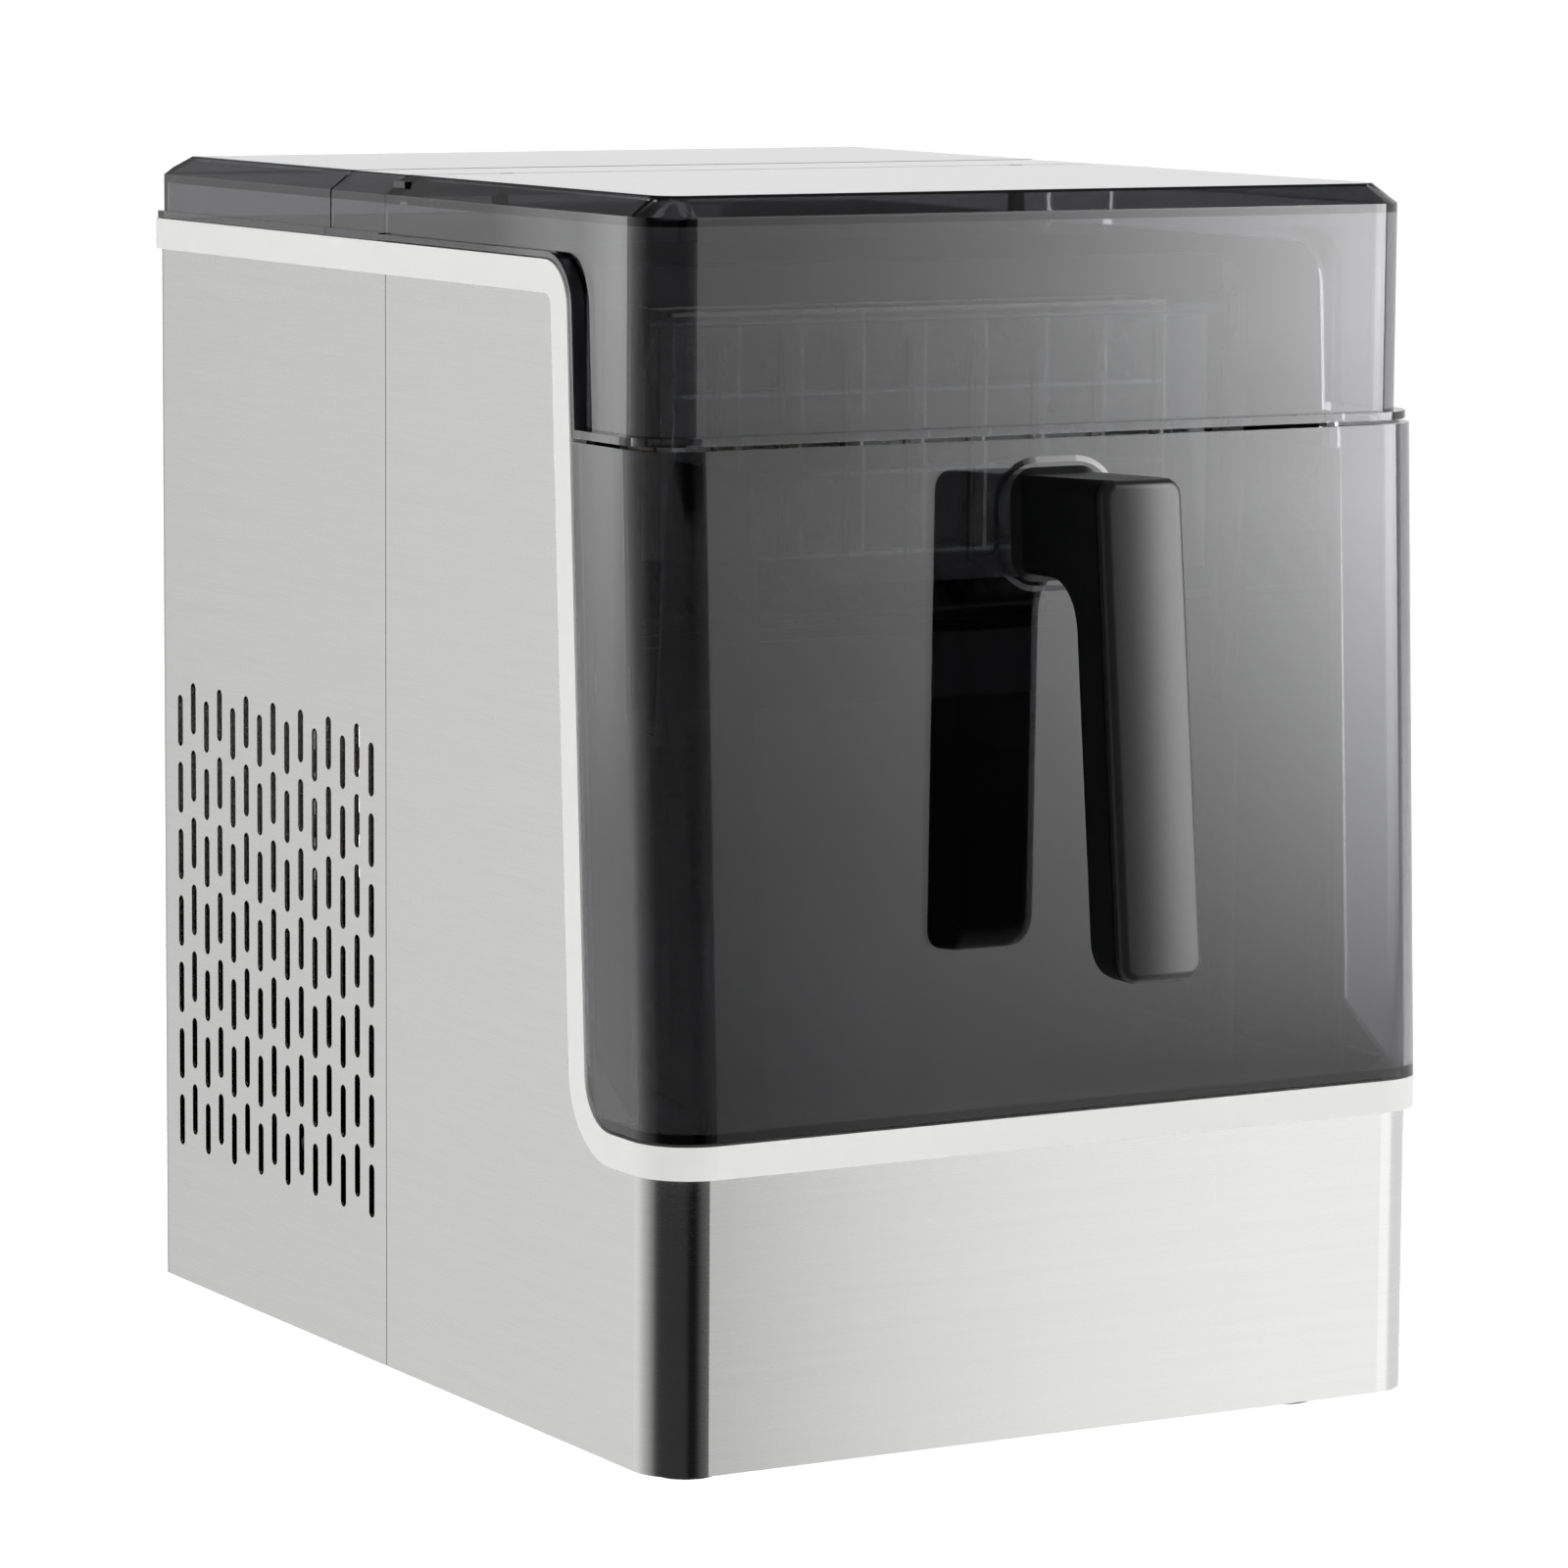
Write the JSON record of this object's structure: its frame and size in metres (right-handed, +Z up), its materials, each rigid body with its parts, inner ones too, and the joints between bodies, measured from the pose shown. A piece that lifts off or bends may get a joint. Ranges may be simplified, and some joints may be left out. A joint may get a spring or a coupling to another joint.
{
  "type": "countertop ice maker",
  "caption": "Countertop clear-cube ice maker with a stainless cabinet, hinged smoked lid and pull-out smoked ice bin with a hook handle.",
  "frame": {"origin": "on the surface the machine stands on, at the centre of its bounding box's footprint", "axes": "+X to the right seen from the front, +Y to the back, +Z up"},
  "size_m": [0.294, 0.4512, 0.4096],
  "materials": {
    "brushed_stainless": "fine brushed stainless sheet",
    "white_abs": "satin white moulded ABS",
    "smoked_plastic": "glossy smoke-tinted transparent plastic",
    "light_inlay": "pale grey back-printed panel",
    "black_plastic": "fine-textured black ABS",
    "soft_touch_rubber": "soft-touch overmould",
    "black_rubber": "moulded rubber",
    "galvanised_steel": "zinc-coated sheet",
    "tinned_copper": "nickel-plated copper",
    "copper": "drawn copper tube",
    "insulation": "expanded polystyrene foam",
    "steel_hardware": "zinc-plated steel",
    "clear_plastic": "clear polycarbonate",
    "silicone_hose": "translucent silicone hose",
    "drain_plastic": "natural moulded polypropylene",
    "compressor_paint": "satin black enamel",
    "aluminium_fins": "mill finish fin stock",
    "motor_housing": "grey enamel",
    "valve_coil": "potted solenoid coil",
    "circuit_board": "solder-masked board"
  },
  "bodies": {
    "cabinet": {"back_panel": "brushed_stainless", "base_pan": "galvanised_steel", "capillary_tube": "copper", "cavity_liner": "black_plastic", "circulation_pump": "black_plastic", "compressor": "compressor_paint", "compressor_mounts": "black_rubber", "condenser_coil": "copper", "condenser_fins": "aluminium_fins", "control_board": "circuit_board", "cord_gland": "black_plastic", "discharge_line": "copper", "drain_hose": "silicone_hose", "drain_spout": "drain_plastic", "electronics_tray": "white_abs", "evaporator_grid": "tinned_copper", "evaporator_housing": "black_plastic", "evaporator_plate": "tinned_copper", "evaporator_tube": "copper", "fan_motor": "motor_housing", "fan_shroud": "black_plastic", "filter_dryer": "copper", "float_guide": "black_plastic", "front_wrap_panel": "brushed_stainless", "hinge_cover": "smoked_plastic", "hinge_cover_inlay": "light_inlay", "hinge_ears": "black_plastic", "hinge_pins": "steel_hardware", "hot_gas_valve": "valve_coil", "ice_slide": "black_plastic", "insulated_partition": "insulation", "left_side_panel": "brushed_stainless", "liquid_line": "copper", "panel_screws": "steel_hardware", "pump_hose": "silicone_hose", "rear_top_cover": "smoked_plastic", "return_tube": "silicone_hose", "right_side_panel": "brushed_stainless", "rubber_feet": "black_rubber", "suction_line": "copper", "touch_panel": "light_inlay", "trim_band": "white_abs", "upper_deck": "black_plastic", "water_distributor": "black_plastic", "water_reservoir": "clear_plastic", "water_trough": "black_plastic"},
    "lid": {"lid_shell": "smoked_plastic", "lid_rim_frame": "smoked_plastic", "lid_inlay": "light_inlay"},
    "ice_bin": {"bin_fascia": "smoked_plastic", "bin_ice_box": "smoked_plastic", "handle_body": "black_plastic", "handle_grip_cap": "soft_touch_rubber", "handle_screws": "steel_hardware"},
    "curtain": {"water_curtain": "clear_plastic"},
    "fan": {"fan_blade": "black_plastic"},
    "level_float": {"water_level_float": "drain_plastic"},
    "drain_plug": {"drain_cap": "black_rubber"}
  },
  "joints": [
    {"name": "lid_hinge", "type": "hinge", "parent": "cabinet", "child": "lid", "pos_m": [0, 0.03145, 0.407], "axis": [-1, 0, 0], "range_deg": [0, 78]},
    {"name": "bin_slide", "type": "slide", "parent": "cabinet", "child": "ice_bin", "axis": [0, -1, 0], "range_m": [0, 0.2]},
    {"name": "curtain_hinge", "type": "hinge", "parent": "cabinet", "child": "curtain", "pos_m": [0, -0.08275, 0.366], "axis": [-1, 0, 0], "range_deg": [0, 35]},
    {"name": "fan_spin", "type": "hinge", "parent": "cabinet", "child": "fan", "pos_m": [0.1035, 0.12325, 0.1275], "axis": [1, 0, 0], "continuous": true},
    {"name": "float_travel", "type": "slide", "parent": "cabinet", "child": "level_float", "axis": [0, 0, 1], "range_m": [0, 0.045]},
    {"name": "drain_cap_pull", "type": "slide", "parent": "cabinet", "child": "drain_plug", "axis": [0, 1, 0], "range_m": [0, 0.015]}
  ]
}
